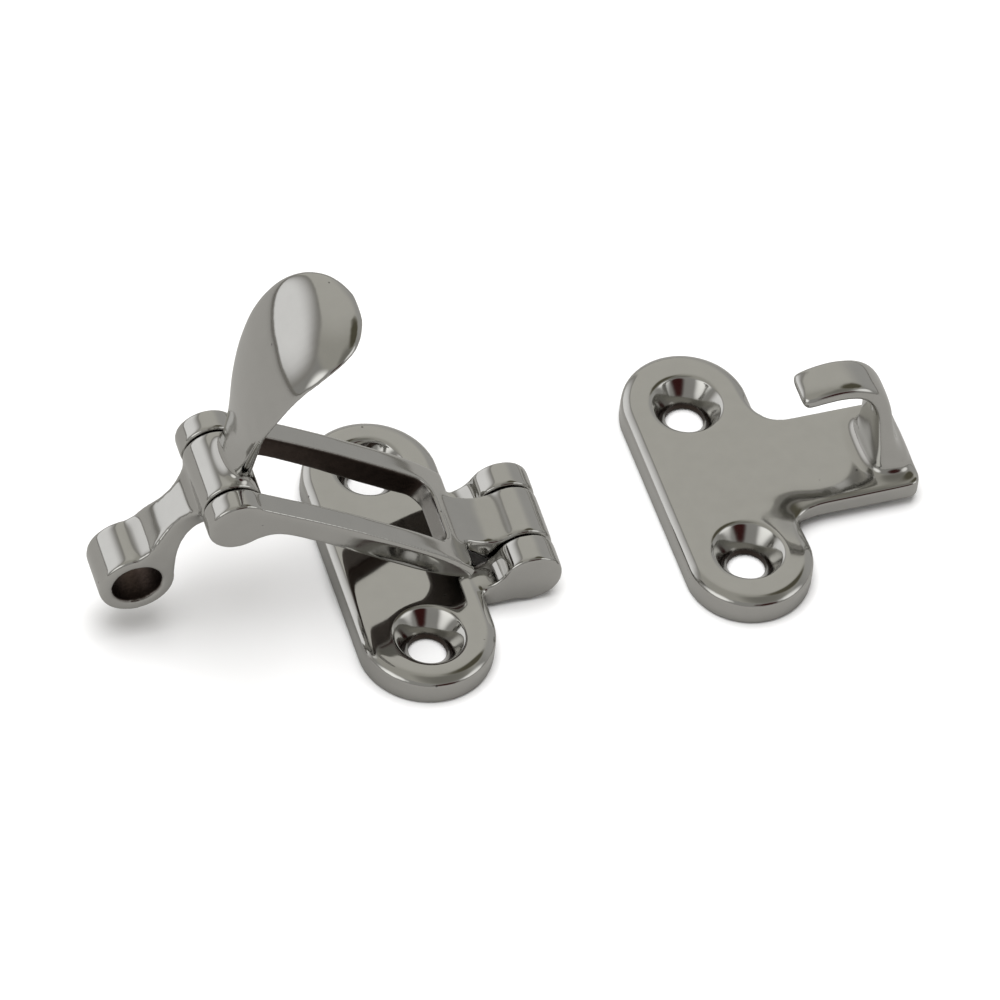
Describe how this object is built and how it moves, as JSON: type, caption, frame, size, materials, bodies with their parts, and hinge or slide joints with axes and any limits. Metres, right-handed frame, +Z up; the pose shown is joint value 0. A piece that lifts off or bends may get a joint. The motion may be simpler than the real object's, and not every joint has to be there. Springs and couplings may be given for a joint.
{
  "type": "casement window fastener",
  "caption": "Toggle fastener for a casement sash: screwed base, hinged open frame, cam lever with thumb leaf and barrel, and a hooked keeper plate.",
  "frame": {"origin": "middle of the base plate's underside, on the face it is screwed down by", "axes": "+X across the plate towards its hinge ears and the keeper, +Y along the plate and along both hinge pins, +Z up from the sash"},
  "size_m": [0.1093, 0.0458, 0.0555],
  "materials": {
    "base_plate_steel": "mirror-polished cast stainless steel",
    "swing_frame_steel": "mirror-polished cast stainless steel",
    "cam_lever_steel": "mirror-polished cast stainless steel",
    "base_hinge_pin_steel": "polished stainless steel rod",
    "lever_pivot_pin_steel": "polished stainless steel rod",
    "keeper_plate_steel": "mirror-polished cast stainless steel"
  },
  "bodies": {
    "base": {"base_plate": "base_plate_steel", "base_hinge_pin": "base_hinge_pin_steel"},
    "frame": {"swing_frame": "swing_frame_steel", "lever_pivot_pin": "lever_pivot_pin_steel"},
    "lever": {"cam_lever": "cam_lever_steel"},
    "keeper": {"keeper_plate": "keeper_plate_steel"}
  },
  "joints": [
    {"name": "frame_hinge", "type": "hinge", "parent": "base", "child": "frame", "pos_m": [0.0152, 0, 0.0043], "axis": [0, 1, 0], "range_deg": [-5, 112]},
    {"name": "lever_pivot", "type": "hinge", "parent": "frame", "child": "lever", "pos_m": [-0.0251, 0, 0.0249], "axis": [0, 1, 0], "range_deg": [-140, 86]},
    {"name": "keeper_slide", "type": "slide", "parent": "base", "child": "keeper", "axis": [1, 0, 0], "range_m": [0, 0.03]}
  ]
}
